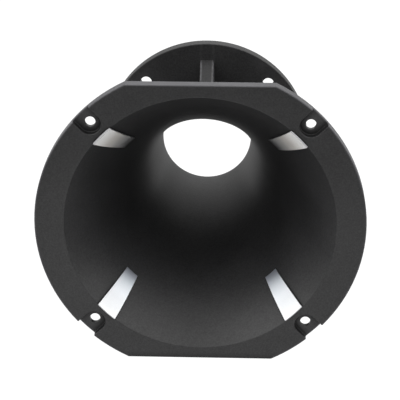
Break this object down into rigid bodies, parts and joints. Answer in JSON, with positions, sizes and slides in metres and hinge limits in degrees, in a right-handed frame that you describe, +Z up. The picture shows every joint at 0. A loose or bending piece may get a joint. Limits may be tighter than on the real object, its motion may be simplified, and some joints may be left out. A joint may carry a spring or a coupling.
{
  "type": "loudspeaker horn flare",
  "caption": "Round moulded loudspeaker horn: smooth flare from a wide flat-sided mouth flange with screw pockets to a bolt-on driver flange, with bright trim strips inside.",
  "frame": {"origin": "on the horn's axis, in the plane where the back of the mouth flange seats on a baffle", "axes": "+Y along the sound path from the mouth towards the driver, +Z up with the mouth flange's flats level, +X to the right as the mouth is seen"},
  "size_m": [0.1756, 0.1351, 0.1574],
  "materials": {
    "body_plastic": "fine moulded grain, satin black",
    "trim_metal": "fine brushed along its length, satin",
    "foam_tape": "black double-sided foam mounting tape",
    "gasket_rubber": "matt closed-cell sheet"
  },
  "bodies": {
    "root": {"horn_body": "body_plastic", "trim_strip_upper_left": "trim_metal", "trim_strip_upper_right": "trim_metal", "trim_strip_lower_left": "trim_metal", "trim_strip_lower_right": "trim_metal", "adhesive_pad_upper_left": "foam_tape", "adhesive_pad_upper_right": "foam_tape", "adhesive_pad_lower_left": "foam_tape", "adhesive_pad_lower_right": "foam_tape", "driver_gasket": "gasket_rubber"}
  },
  "joints": []
}
